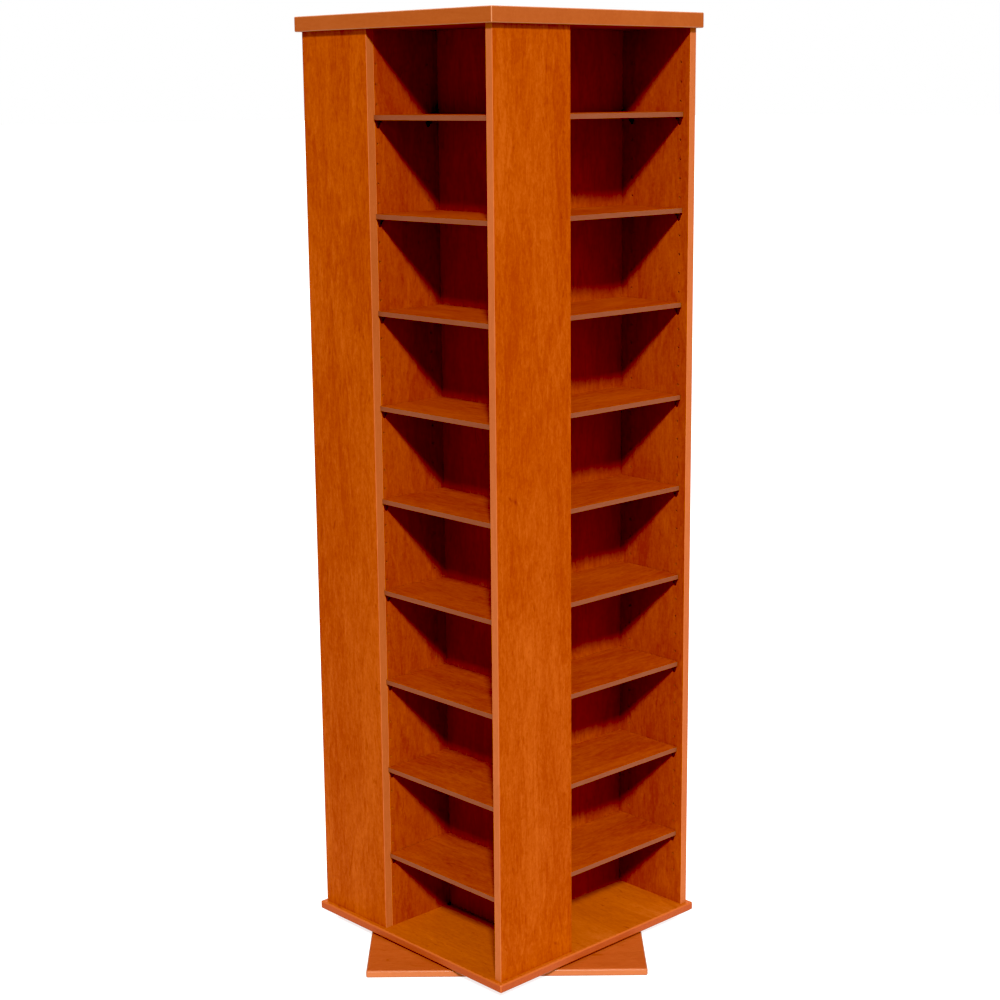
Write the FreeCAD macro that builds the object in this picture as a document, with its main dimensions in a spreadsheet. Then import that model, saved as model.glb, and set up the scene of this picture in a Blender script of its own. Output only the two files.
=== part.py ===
import FreeCAD, Part
import Sketcher

import math
import os

# A four-sided storage tower that turns on a ball-bearing turntable.
#
# Frame: millimetres, +Z up, origin on the floor under the spin axis. The tower's
# faces look along -Y (front), +X (right), +Y (back) and -X (left). The base board
# stands turned about the axis, so that its edges lie across the tower's corners.
#
# The tower is a pinwheel. Every face has a wide side board at its left end and an
# open bay beside it. The partition behind the side board's free end is the left
# wall of that bay and, with its other face, the back wall of the bay before it.
# Upright boards are pinned to the top and bottom boards with dowels.
#
# The turntable is two square plates with a ring of caged balls between them, held
# together by a centre rivet. The upper plate is let into the bottom board, so that
# the tower turns close above its base.

DIMENSIONS = [
    # carcass
    ("body_side", 466, "across two opposite faces of the tower"),
    ("board_thick", 15, "side boards, partitions and bottom board"),
    ("side_width", 168, "width of a side board"),
    ("body_height", 1555, "height of side boards and partitions"),
    ("top_thick", 25, "top board"),
    ("overhang", 9, "top and bottom boards past the faces"),
    ("arris", 2, "broken edges of top, bottom and base boards"),
    ("fine_arris", 0.8, "broken edges of side boards and shelves"),
    # base and turntable
    ("base_thick", 13, "base board, as wide as the top board"),
    ("base_turn", 46.7, "degrees that the base stands turned"),
    ("swivel_gap", 5, "between base board and bottom board"),
    ("turntable_high", 8, "turntable over both plates"),
    ("pocket_play", 1, "gap round the upper plate in the bottom board"),
    ("plate_side", 300, "square turntable plates"),
    ("plate_thick", 1.5, "turntable plates"),
    ("plate_corner", 12, "cut corners of the plates"),
    ("ball_size", 6.35, "diameter of a bearing ball"),
    ("ball_count", 12, "balls in the ring"),
    ("race_radius", 100, "radius of the ball ring"),
    ("race_slope", 20, "degrees that the race's flanks rise"),
    ("race_play", 0.08, "clearance of a ball to each flank"),
    ("cage_width", 12, "radial width of the ball cage"),
    ("cage_thick", 1.6, "ball cage"),
    ("cage_window", 6.8, "square window for a ball"),
    # centre rivet and plate screws
    ("rivet_radius", 5, "shank of the centre rivet"),
    ("rivet_play", 0.1, "radial running fit in the upper plate"),
    ("rivet_head", 8, "radius of the rivet's heads"),
    ("rivet_head_thick", 1.2, "rivet's heads"),
    ("rivet_lift", 0.4, "play between upper plate and upper head"),
    ("recess_radius", 12, "recess in both boards round a rivet head"),
    ("recess_depth", 3, "recess in both boards round a rivet head"),
    ("screw_inset", 18, "plate screws, in from the plate's edges"),
    ("screw_radius", 2, "shank of a plate screw"),
    ("screw_length", 12, "plate screw under its head"),
    ("screw_head", 3.8, "radius of a plate screw's head"),
    ("screw_head_thick", 2, "plate screw's head"),
    ("access_radius", 11, "hole in the base to reach the upper screws"),
    # dowels
    ("dowel_radius", 4, "dowel"),
    ("dowel_length", 26, "dowel"),
    ("dowel_sunk", 8, "dowel's depth in the top and bottom boards"),
    ("dowel_inset", 40, "dowels, in from an upright board's edges"),
    # shelves and clips
    ("shelf_count", 9, "shelves in a bay"),
    ("shelf_thick", 9, "shelf"),
    ("shelf_pitch", 160, "from shelf to shelf"),
    ("lowest_bay", 130, "clear height under the lowest shelf"),
    ("shelf_recess", 12, "shelf's front behind the tower's face"),
    ("shelf_play", 1, "shelf's clearance to side and back walls"),
    ("clip_width", 10, "shelf clip along the wall"),
    ("clip_foot", 4, "width of a clip at its foot"),
    ("clip_leg", 12, "height of a clip against the wall"),
    ("clip_ledge", 7, "reach of a clip under the shelf"),
    ("clip_thick", 2.5, "ledge of a clip"),
    ("clip_toe", 1.2, "reach of a clip at its foot"),
    ("clip_front", 3.5, "front clips behind the shelf's front edge"),
    ("clip_back", 18, "rear clips in front of the bay's back wall"),
]

SIDES = ["front", "right", "back", "left"]
QUARTER = 90
FULL_TURN = 360
CORNERS = "4"
SHANK_FLATS = 8
HEAD_FLATS = 12
BALL_MERIDIANS = 10
BALL_BANDS = 6

# Places worked out from the sheet, as expressions.
HALF = "(dims.body_side / 2)"
BOARD_HALF = "(dims.body_side / 2 + dims.overhang)"
BAY_DEPTH = "(dims.side_width - dims.board_thick)"
BAY_WIDTH = "(dims.body_side - dims.side_width - dims.board_thick)"
BAY_MIDDLE = f"({BAY_DEPTH} / 2)"
BOTTOM_LOW = "(dims.base_thick + dims.swivel_gap)"
BODY_LOW = f"({BOTTOM_LOW} + dims.board_thick)"
BODY_HIGH = f"({BODY_LOW} + dims.body_height)"

# The turntable, between the base board's top and the pocket in the bottom board.
SWIVEL_MIDDLE = "(dims.base_thick + dims.turntable_high / 2)"
LOWER_PLATE_FACE = "(dims.base_thick + dims.plate_thick)"
UPPER_PLATE_BACK = "(dims.base_thick + dims.turntable_high)"
UPPER_PLATE_FACE = f"({UPPER_PLATE_BACK} - dims.plate_thick)"
POCKET_DEPTH = "(dims.turntable_high - dims.swivel_gap)"
POCKET_HALF = "(dims.plate_side / 2 + dims.pocket_play)"
SCREW_PLACE = "(dims.plate_side / 2 - dims.screw_inset)"
PILOT_DEPTH = "(dims.screw_length - dims.plate_thick)"
RACE_REACH = "((dims.ball_size / 2 + dims.race_play) / cos(dims.race_slope))"
RACE_DEPTH = f"({RACE_REACH} - dims.turntable_high / 2 + dims.plate_thick)"
RACE_HALF = f"({RACE_DEPTH} / tan(dims.race_slope))"

# The front side's upright boards and their dowels, seen from above.
SIDE_LEFT = f"(-{HALF})"
SIDE_RIGHT = f"({SIDE_LEFT} + dims.side_width)"
SIDE_NEAR = f"(-{HALF})"
SIDE_FAR = f"({SIDE_NEAR} + dims.board_thick)"
SIDE_MIDDLE = f"({SIDE_NEAR} + dims.board_thick / 2)"
PARTITION_LEFT = f"({SIDE_RIGHT} - dims.board_thick)"
PARTITION_FAR = f"({SIDE_FAR} + {BAY_WIDTH})"
PARTITION_MIDDLE = f"({SIDE_RIGHT} - dims.board_thick / 2)"
SIDE_DOWELS = [
    (f"{SIDE_LEFT} + dims.dowel_inset", SIDE_MIDDLE),
    (f"{SIDE_RIGHT} - dims.dowel_inset", SIDE_MIDDLE),
]
PARTITION_DOWELS = [
    (PARTITION_MIDDLE, f"{SIDE_FAR} + dims.dowel_inset"),
    (PARTITION_MIDDLE, f"{PARTITION_FAR} - dims.dowel_inset"),
]

doc = FreeCAD.newDocument("media_tower")
parts = []


def make_sheet():
    """Write the driving dimensions into the sheet, one aliased row each."""
    sheet = doc.addObject("Spreadsheet::Sheet", "dims")
    for row, (alias, value, note) in enumerate(DIMENSIONS, start=1):
        sheet.set(f"A{row}", str(value))
        sheet.setAlias(f"A{row}", alias)
        sheet.set(f"B{row}", note)
    doc.recompute()
    return sheet


dims = make_sheet()


# ---------------------------------------------------------------- sub-parts and sketches


def new_part(kind, name):
    """Add a sub-part whose label names its file."""
    thing = doc.addObject(kind, name)
    thing.Label = name
    parts.append(thing)
    return thing


def place(thing, x="0", y="0", z="0", turn="0", roll="0"):
    """Roll an object about X, move it, and then turn it about the tower's axis."""
    moved = f"placement(vector({x}; {y}; {z}); rotation(vector(1; 0; 0); {roll}))"
    turned = f"placement(vector(0; 0; 0); rotation(vector(0; 0; 1); {turn}))"
    thing.setExpression("Placement", f"{turned} * {moved}")


def origin_feature(body, role):
    """Find an origin plane or axis of a body by its role."""
    return next(item for item in body.Origin.OriginFeatures if item.Role == role)


def new_sketch(body, name, plane="XY_Plane", offset="0"):
    """Add a sketch on one of the body's origin planes, moved along its normal."""
    sketch = body.newObject("Sketcher::SketchObject", name)
    sketch.AttachmentSupport = [(origin_feature(body, plane), "")]
    sketch.MapMode = "FlatFace"
    sketch.setExpression("AttachmentOffset.Base.z", offset)
    return sketch


def pin_point(sketch, element, end, across, up):
    """Dimension a sketch point from the origin, by two expressions."""
    for kind, text in (("DistanceX", across), ("DistanceY", up)):
        index = sketch.addConstraint(Sketcher.Constraint(kind, -1, 1, element, end, 1.0))
        sketch.setExpression(f"Constraints[{index}]", text)


def polygon(sketch, corners):
    """Draw a closed outline through corners given as pairs of expressions."""
    count = len(corners)
    angles = [2 * math.pi * index / count for index in range(count + 1)]
    rough = [FreeCAD.Vector(math.cos(angle), math.sin(angle), 0) for angle in angles]
    first = sketch.GeometryCount
    for start, end in zip(rough, rough[1:]):
        sketch.addGeometry(Part.LineSegment(start, end), False)
    for index in range(count):
        after = first + (index + 1) % count
        sketch.addConstraint(Sketcher.Constraint("Coincident", first + index, 2, after, 1))
    for index, (across, up) in enumerate(corners):
        pin_point(sketch, first + index, 1, across, up)


def rectangle(sketch, left, near, right, far):
    """Draw a rectangle between two opposite corners."""
    polygon(sketch, [(left, near), (right, near), (right, far), (left, far)])


def circle(sketch, radius, across="0", up="0"):
    """Draw a circle with its radius and centre bound to expressions."""
    flat = Part.Circle(FreeCAD.Vector(0, 0, 0), FreeCAD.Vector(0, 0, 1), 1)
    index = sketch.addGeometry(flat, False)
    pin_point(sketch, index, 3, across, up)
    size = sketch.addConstraint(Sketcher.Constraint("Radius", index, 1.0))
    sketch.setExpression(f"Constraints[{size}]", radius)


def flats(sketch, radius, across, up, sides=SHANK_FLATS):
    """Draw a small, often repeated round as a regular polygon, to keep the part light."""
    angles = [FULL_TURN * (side + 0.5) / sides for side in range(sides)]
    polygon(sketch, [
        (f"{across} + {radius} * cos({angle})", f"{up} + {radius} * sin({angle})")
        for angle in angles
    ])


# ---------------------------------------------------------------- features


def finish_feature(body, feature):
    """Make a feature the body's result and work it out."""
    body.Tip = feature
    doc.recompute()
    return feature


def pad(body, name, sketch, height, backwards=False):
    """Raise a sketch along its normal, or the other way."""
    feature = body.newObject("PartDesign::Pad", name)
    feature.Profile = sketch
    feature.Reversed = backwards
    feature.setExpression("Length", height)
    return finish_feature(body, feature)


def pocket(body, name, sketch, depth, upwards=False):
    """Cut a sketch down into the body, or upwards, and check that it cut."""
    before = body.Shape.Volume
    feature = body.newObject("PartDesign::Pocket", name)
    feature.Profile = sketch
    feature.Reversed = upwards
    feature.setExpression("Length", depth)
    finish_feature(body, feature)
    if not body.Shape.Volume < before:
        raise RuntimeError(f"{body.Label}: {name} cut nothing")
    return feature


def lathe(body, name, sketch, kind):
    """Turn a sketch about the body's Z axis, as a solid or as a groove."""
    feature = body.newObject(kind, name)
    feature.Profile = sketch
    feature.ReferenceAxis = (origin_feature(body, "Z_Axis"), [""])
    feature.Angle = FULL_TURN
    return finish_feature(body, feature)


def break_edges(body, base, size, wanted):
    """Chamfer those edges of a feature that the test picks out."""
    edges = enumerate(base.Shape.Edges, start=1)
    names = [f"Edge{index}" for index, edge in edges if wanted(edge)]
    feature = body.newObject("PartDesign::Chamfer", "broken_edges")
    feature.Base = (base, names)
    feature.setExpression("Size", size)
    return finish_feature(body, feature)


def any_edge(edge):
    """Pick every edge."""
    return True


def upright_edge(edge):
    """Pick edges that run along Z."""
    span = edge.BoundBox
    return span.XLength < 1e-6 and span.YLength < 1e-6


def front_edge(edge):
    """Pick edges that run along X in the plane of X and Z."""
    span = edge.BoundBox
    return span.ZLength < 1e-6 and abs(span.YMin) < 1e-6 and abs(span.YMax) < 1e-6


def polar(body, name, count):
    """Add a repeat about the body's Z axis."""
    pattern = body.newObject("PartDesign::PolarPattern", name)
    pattern.Axis = (origin_feature(body, "Z_Axis"), [""])
    pattern.Angle = FULL_TURN
    pattern.setExpression("Occurrences", count)
    return pattern


def linear(body, name, axis, spacing, count="2"):
    """Add a repeat along one of the body's axes."""
    pattern = body.newObject("PartDesign::LinearPattern", name)
    pattern.Direction = (origin_feature(body, axis), [""])
    pattern.Mode = "Spacing"
    pattern.setExpression("Offset", spacing)
    pattern.setExpression("Occurrences", count)
    return pattern


def mirrored(body, name, plane):
    """Add a mirror image in one of the body's planes."""
    pattern = body.newObject("PartDesign::Mirrored", name)
    pattern.MirrorPlane = (origin_feature(body, plane), [""])
    return pattern


def repeat_round(body, name, features, count=CORNERS):
    """Repeat features evenly about the body's Z axis."""
    pattern = polar(body, name, count)
    pattern.Originals = features
    return finish_feature(body, pattern)


def repeat_each_way(body, name, features, patterns):
    """Repeat features by several patterns, one after the other."""
    combined = body.newObject("PartDesign::MultiTransform", name)
    combined.Originals = features
    combined.Transformations = patterns
    return finish_feature(body, combined)


# ---------------------------------------------------------------- boards and their holes


def board(name, left, near, right, far, height):
    """Add a board between two opposite corners, and return its body and pad."""
    body = new_part("PartDesign::Body", name)
    sketch = new_sketch(body, f"{name}_outline")
    rectangle(sketch, left, near, right, far)
    return body, pad(body, f"{name}_blank", sketch, height)


def square_board(name, half, height):
    """Add a square board centred on the axis, and return its body and pad."""
    return board(name, f"-{half}", f"-{half}", half, half, height)


def drill_corners(body, name, start, depth, upwards=False):
    """Drill the four holes for a plate's screws."""
    sketch = new_sketch(body, f"{name}_outline", offset=start)
    flats(sketch, "dims.screw_radius", SCREW_PLACE, SCREW_PLACE)
    hole = pocket(body, name, sketch, depth, upwards)
    repeat_round(body, f"{name}s", [hole])


def sink_rivet_recess(body, start, upwards=False):
    """Sink the shallow recess that clears a rivet head."""
    sketch = new_sketch(body, "rivet_recess_outline", offset=start)
    circle(sketch, "dims.recess_radius")
    pocket(body, "rivet_recess", sketch, "dims.recess_depth", upwards)


def dowel_outlines(body, name, places, start="0"):
    """Add one sketch with a dowel's outline at each place."""
    sketch = new_sketch(body, name, offset=start)
    for across, along in places:
        flats(sketch, "dims.dowel_radius", across, along)
    return sketch


def drill_face_sockets(body, start, upwards=False):
    """Drill the dowel sockets for all four sides into a top or bottom board."""
    sketch = dowel_outlines(body, "socket_outlines", SIDE_DOWELS + PARTITION_DOWELS, start)
    sockets = pocket(body, "sockets_of_one_side", sketch, "dims.dowel_sunk", upwards)
    repeat_round(body, "sockets", [sockets])


def drill_end_sockets(body, places):
    """Drill the dowel sockets into an upright board's two ends."""
    depth = "dims.dowel_length - dims.dowel_sunk"
    for end, start, upwards in (("lower", "0", True), ("upper", "dims.body_height", False)):
        sketch = dowel_outlines(body, f"{end}_socket_outlines", places, start)
        pocket(body, f"{end}_sockets", sketch, depth, upwards)


# ---------------------------------------------------------------- base and turntable


def make_base_panel():
    """The board on the floor, drilled for the lower turntable plate."""
    body, blank = square_board("base_panel", BOARD_HALF, "dims.base_thick")
    break_edges(body, blank, "dims.arris", any_edge)
    sink_rivet_recess(body, "dims.base_thick")
    drill_corners(body, "pilot_hole", "dims.base_thick", PILOT_DEPTH)
    access = new_sketch(body, "access_outline", offset="dims.base_thick")
    circle(access, "dims.access_radius", f"{SCREW_PLACE} * sqrt(2)")
    pocket(body, "access_hole", access, "dims.base_thick")
    place(body, turn="dims.base_turn")


def make_turntable_plate(name, low, bore, race_up, turn="0"):
    """A square pressed plate with a V race on the side that faces the balls."""
    body, blank = square_board(name, "dims.plate_side / 2", "dims.plate_thick")
    break_edges(body, blank, "dims.plate_corner", upright_edge)

    face = "dims.plate_thick" if race_up else "0"
    apex = f"dims.plate_thick - {RACE_DEPTH}" if race_up else RACE_DEPTH
    race = new_sketch(body, "race_outline", "XZ_Plane")
    polygon(race, [
        ("dims.race_radius", apex),
        (f"dims.race_radius + {RACE_HALF}", face),
        (f"dims.race_radius - {RACE_HALF}", face),
    ])
    lathe(body, "ball_race", race, "PartDesign::Groove")

    centre = new_sketch(body, "rivet_bore_outline", offset="dims.plate_thick")
    circle(centre, bore)
    pocket(body, "rivet_bore", centre, "dims.plate_thick")
    drill_corners(body, "screw_hole", "dims.plate_thick", "dims.plate_thick")
    place(body, z=low, turn=turn)


def make_plate_screws(name, plate_face, turn="0", roll="0"):
    """Four screws through one turntable plate: heads on its face, shanks in the board."""
    body = new_part("PartDesign::Body", name)
    shank = new_sketch(body, "shank_outline")
    flats(shank, "dims.screw_radius", SCREW_PLACE, SCREW_PLACE)
    rod = pad(body, "screw_shank", shank, "dims.screw_length")
    head = new_sketch(body, "head_outline")
    flats(head, "dims.screw_head", SCREW_PLACE, SCREW_PLACE, HEAD_FLATS)
    cap = pad(body, "screw_head", head, "dims.screw_head_thick", backwards=True)
    repeat_round(body, "four_screws", [rod, cap])
    place(body, z=plate_face, turn=turn, roll=roll)


def faceted_ball(centre, radius):
    """A ball of flat facets: rings of points from pole to pole."""
    turns = [2 * math.pi * step / BALL_MERIDIANS for step in range(BALL_MERIDIANS)]
    rings = []
    for band in range(BALL_BANDS + 1):
        tilt = math.pi * band / BALL_BANDS
        flat = radius * math.sin(tilt)
        high = radius * math.cos(tilt)
        rings.append([
            centre + FreeCAD.Vector(flat * math.cos(turn), flat * math.sin(turn), high)
            for turn in turns
        ])
    faces = []
    for upper, lower in zip(rings, rings[1:]):
        for step in range(BALL_MERIDIANS):
            after = (step + 1) % BALL_MERIDIANS
            corners = [upper[step], lower[step], lower[after], upper[after]]
            outline = [p for i, p in enumerate(corners) if not p.isEqual(corners[i - 1], 1e-6)]
            faces.append(Part.Face(Part.makePolygon(outline + outline[:1])))
    return Part.makeSolid(Part.makeShell(faces))


def make_bearing_balls():
    """The ring of balls, midway between the two plates."""
    balls = []
    step = 2 * math.pi / dims.ball_count
    middle = dims.base_thick + dims.turntable_high / 2
    for index in range(int(dims.ball_count)):
        across = dims.race_radius * math.cos(index * step)
        along = dims.race_radius * math.sin(index * step)
        centre = FreeCAD.Vector(across, along, middle)
        balls.append(faceted_ball(centre, dims.ball_size / 2))
    group = new_part("Part::Feature", "bearing_balls")
    group.Shape = Part.makeCompound(balls)


def make_ball_cage():
    """A flat ring with one square window for each ball."""
    body = new_part("PartDesign::Body", "ball_cage")
    outline = new_sketch(body, "cage_outline")
    circle(outline, "dims.race_radius + dims.cage_width / 2")
    circle(outline, "dims.race_radius - dims.cage_width / 2")
    pad(body, "cage_ring", outline, "dims.cage_thick")

    window = new_sketch(body, "window_outline", offset="dims.cage_thick")
    near = "dims.race_radius - dims.cage_window / 2"
    far = "dims.race_radius + dims.cage_window / 2"
    half = "dims.cage_window / 2"
    rectangle(window, near, f"-{half}", far, half)
    hole = pocket(body, "window", window, "dims.cage_thick")
    repeat_round(body, "windows", [hole], "dims.ball_count")
    place(body, z=f"{SWIVEL_MIDDLE} - dims.cage_thick / 2")


def make_pivot_rivet():
    """The spool-shaped rivet that keeps the two plates together."""
    body = new_part("PartDesign::Body", "pivot_rivet")
    under = "dims.base_thick"
    over = f"{UPPER_PLATE_BACK} + dims.rivet_lift"
    profile = new_sketch(body, "rivet_outline", "XZ_Plane")
    polygon(profile, [
        ("0", f"{under} - dims.rivet_head_thick"),
        ("dims.rivet_head", f"{under} - dims.rivet_head_thick"),
        ("dims.rivet_head", under),
        ("dims.rivet_radius", under),
        ("dims.rivet_radius", over),
        ("dims.rivet_head", over),
        ("dims.rivet_head", f"{over} + dims.rivet_head_thick"),
        ("0", f"{over} + dims.rivet_head_thick"),
    ])
    lathe(body, "rivet", profile, "PartDesign::Revolution")


# ---------------------------------------------------------------- carcass


def make_bottom_panel():
    """The tower's bottom board, with the upper turntable plate let into its underside."""
    body, blank = square_board("bottom_panel", BOARD_HALF, "dims.board_thick")
    break_edges(body, blank, "dims.arris", any_edge)
    seat = new_sketch(body, "plate_pocket_outline")
    rectangle(seat, f"-{POCKET_HALF}", f"-{POCKET_HALF}", POCKET_HALF, POCKET_HALF)
    pocket(body, "plate_pocket", seat, POCKET_DEPTH, upwards=True)
    sink_rivet_recess(body, POCKET_DEPTH, upwards=True)
    drill_corners(body, "pilot_hole", POCKET_DEPTH, PILOT_DEPTH, upwards=True)
    drill_face_sockets(body, "dims.board_thick")
    place(body, z=BOTTOM_LOW)


def make_top_panel():
    """The thick top board."""
    body, blank = square_board("top_panel", BOARD_HALF, "dims.top_thick")
    break_edges(body, blank, "dims.arris", any_edge)
    drill_face_sockets(body, "0", upwards=True)
    place(body, z=BODY_HIGH)


def make_side_panel(side, turn):
    """The wide upright board at the left end of one face."""
    body, blank = board(
        f"side_panel_{side}", SIDE_LEFT, SIDE_NEAR, SIDE_RIGHT, SIDE_FAR, "dims.body_height"
    )
    break_edges(body, blank, "dims.fine_arris", upright_edge)
    drill_end_sockets(body, SIDE_DOWELS)
    place(body, z=BODY_LOW, turn=turn)


def make_partition(side, turn):
    """The upright board that runs inwards from a side board's free end."""
    body, _ = board(
        f"partition_{side}",
        PARTITION_LEFT,
        SIDE_FAR,
        SIDE_RIGHT,
        PARTITION_FAR,
        "dims.body_height",
    )
    drill_end_sockets(body, PARTITION_DOWELS)
    place(body, z=BODY_LOW, turn=turn)


def make_panel_dowels():
    """The dowels between the upright boards and the top and bottom boards."""
    body = new_part("PartDesign::Body", "panel_dowels")
    sketch = dowel_outlines(body, "dowel_outlines", SIDE_DOWELS + PARTITION_DOWELS)
    dowels = pad(body, "dowels_of_one_side", sketch, "dims.dowel_length")
    spacing = "dims.body_height + 2 * dims.dowel_sunk - dims.dowel_length"
    repeat_each_way(body, "dowels", [dowels], [
        linear(body, "at_both_ends", "Z_Axis", spacing),
        polar(body, "on_all_sides", CORNERS),
    ])
    place(body, z=f"{BODY_LOW} - dims.dowel_sunk")


# ---------------------------------------------------------------- shelves and clips


def make_shelf(side, level, turn):
    """One loose shelf; level 1 is the lowest."""
    width = f"{BAY_WIDTH} - 2 * dims.shelf_play"
    depth = f"{BAY_DEPTH} - dims.shelf_recess - dims.shelf_play"
    body, blank = board(f"shelf_{side}_{level}", "0", "0", width, depth, "dims.shelf_thick")
    break_edges(body, blank, "dims.fine_arris", front_edge)
    across = f"{SIDE_RIGHT} + dims.shelf_play"
    along = f"{SIDE_NEAR} + dims.shelf_recess"
    high = f"{BODY_LOW} + dims.lowest_bay + {level - 1} * dims.shelf_pitch"
    place(body, across, along, high, turn)


def make_shelf_clips(side, turn):
    """The clips of one bay: two on each wall under every shelf.

    A clip is a ledge under the shelf on a leg that narrows and thins towards its foot.
    """
    body = new_part("PartDesign::Body", f"shelf_clips_{side}")
    wall = f"(-{BAY_WIDTH} / 2)"
    outline = new_sketch(body, "clip_outline", "YZ_Plane", wall)
    toe = "(dims.clip_width - dims.clip_foot) / 2"
    polygon(outline, [
        ("0", "0"),
        ("0", "-dims.clip_thick"),
        (toe, "-dims.clip_leg"),
        (f"{toe} + dims.clip_foot", "-dims.clip_leg"),
        ("dims.clip_width", "-dims.clip_thick"),
        ("dims.clip_width", "0"),
    ])
    blank = pad(body, "clip_blank", outline, "dims.clip_ledge")
    slope = new_sketch(body, "slope_outline", "XZ_Plane")
    polygon(slope, [
        (f"{wall} + dims.clip_ledge", "-dims.clip_thick"),
        (f"{wall} + dims.clip_toe", "-dims.clip_leg"),
        (f"{wall} + dims.clip_ledge", "-dims.clip_leg"),
    ])
    waste = pocket(body, "clip_slope", slope, "dims.clip_width")
    depth_apart = (
        f"{BAY_DEPTH} - dims.shelf_recess - dims.clip_front - dims.clip_width - dims.clip_back"
    )
    repeat_each_way(body, "clips", [blank, waste], [
        linear(body, "up_the_bay", "Z_Axis", "dims.shelf_pitch", "dims.shelf_count"),
        linear(body, "to_the_back", "Y_Axis", depth_apart),
        mirrored(body, "on_both_walls", "YZ_Plane"),
    ])
    along = f"{SIDE_NEAR} + dims.shelf_recess + dims.clip_front"
    place(body, BAY_MIDDLE, along, f"{BODY_LOW} + dims.lowest_bay", turn)


# ---------------------------------------------------------------- build and write


def check_document():
    """Stop if any object failed or any sub-part has no sound shape."""
    failed = [item.Name for item in doc.Objects if {"Invalid", "Error"} & set(item.State)]
    if failed:
        raise RuntimeError(f"failed objects: {failed}")
    for part in parts:
        if part.Shape.isNull() or not part.Shape.isValid() or not part.Shape.Solids:
            raise RuntimeError(f"{part.Label}: the shape is not sound")


def write_parts():
    """Write every sub-part to its own file."""
    os.makedirs("parts", exist_ok=True)
    for part in parts:
        part.Shape.exportStep(f"parts/{part.Label}.step")
        solids = len(part.Shape.Solids)
        print(f"{part.Label}: {solids} solid(s), {part.Shape.Volume / 1000:.1f} cm3")


make_base_panel()
make_turntable_plate(
    "turntable_lower_plate",
    low="dims.base_thick",
    bore="dims.rivet_radius",
    race_up=True,
    turn="dims.base_turn",
)
make_turntable_plate(
    "turntable_upper_plate",
    low=UPPER_PLATE_FACE,
    bore="dims.rivet_radius + dims.rivet_play",
    race_up=False,
)
make_plate_screws("lower_plate_screws", LOWER_PLATE_FACE, turn="dims.base_turn", roll="180")
make_plate_screws("upper_plate_screws", UPPER_PLATE_FACE)
make_bearing_balls()
make_ball_cage()
make_pivot_rivet()
make_bottom_panel()
for count, face in enumerate(SIDES):
    quarter_turns = str(count * QUARTER)
    make_side_panel(face, quarter_turns)
    make_partition(face, quarter_turns)
    make_shelf_clips(face, quarter_turns)
    for shelf_level in range(1, int(dims.shelf_count) + 1):
        make_shelf(face, shelf_level, quarter_turns)
make_panel_dowels()
make_top_panel()

doc.recompute()
check_document()
write_parts()
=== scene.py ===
"""Dress a four-sided storage tower that turns on a ball-bearing turntable.

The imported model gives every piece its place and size. This file gives the boards their
rounded edges, peg holes and wood-grain laminate, the shelf supports their moulded form
and the turntable its steel, and then stands the tower in a plain white studio.
"""

import logging
import math
from collections.abc import Callable
from dataclasses import dataclass, field
from enum import Enum

import bmesh
import bpy
import numpy as np
from mathutils import Matrix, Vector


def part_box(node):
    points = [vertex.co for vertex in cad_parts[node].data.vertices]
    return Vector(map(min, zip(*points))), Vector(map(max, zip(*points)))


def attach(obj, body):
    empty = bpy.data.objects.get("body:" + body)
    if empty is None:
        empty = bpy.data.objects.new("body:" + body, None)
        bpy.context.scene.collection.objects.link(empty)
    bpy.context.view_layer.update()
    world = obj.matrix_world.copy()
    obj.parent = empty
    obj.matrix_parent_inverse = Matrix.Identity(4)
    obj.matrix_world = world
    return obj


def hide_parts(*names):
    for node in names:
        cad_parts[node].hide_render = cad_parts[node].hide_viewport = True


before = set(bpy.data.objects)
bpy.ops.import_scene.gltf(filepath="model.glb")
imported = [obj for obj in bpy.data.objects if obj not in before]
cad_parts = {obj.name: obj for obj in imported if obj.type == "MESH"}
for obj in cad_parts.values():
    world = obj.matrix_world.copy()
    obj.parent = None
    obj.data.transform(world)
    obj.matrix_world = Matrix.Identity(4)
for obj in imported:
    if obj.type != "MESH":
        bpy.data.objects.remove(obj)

log = logging.getLogger("tower")

MM = 0.001
MERGED = 1e-7  # points nearer than this, in metres, become one
CREASE = 32.0  # degrees past which an edge stays sharp
QUARTERS = 4
NAMED_SIDES = ("front", "right", "back", "left")
BASE_TURN = 46.7  # degrees by which the base board stands turned under the tower
PEG_COLUMNS = (-212.5 * MM, -103 * MM)
UP = np.array([0.0, 0.0, 1.0])
WHITE = (1.0, 1.0, 1.0)
Triple = tuple[float, float, float]
Material = bpy.types.Material
Mesh = bpy.types.Mesh
Piece = bpy.types.Object
Socket = bpy.types.NodeSocket
Input = "Value | Socket | float | tuple"


# ---------------- shader maths


def maths(operation: str, reflected: bool = False, clamp: bool = False) -> Callable[..., "Value"]:
    """Make a method of Value that adds one Math node.

    Args:
        operation: The node's operation.
        reflected: Whether the value comes after the other operand.
        clamp: Whether the result is kept between 0 and 1.

    Returns:
        The method.
    """
    settings = {"operation": operation, "use_clamp": clamp}

    def method(self: "Value", *others: "Value | float") -> "Value":
        """Add the node.

        Args:
            others: The other operand, where the operation has one.

        Returns:
            The result.
        """
        operands = (*others, self) if reflected else (self, *others)
        node = self.tree.node("ShaderNodeMath", settings, dict(enumerate(operands)))
        return Value(self.tree, node.outputs[0])

    return method


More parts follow.
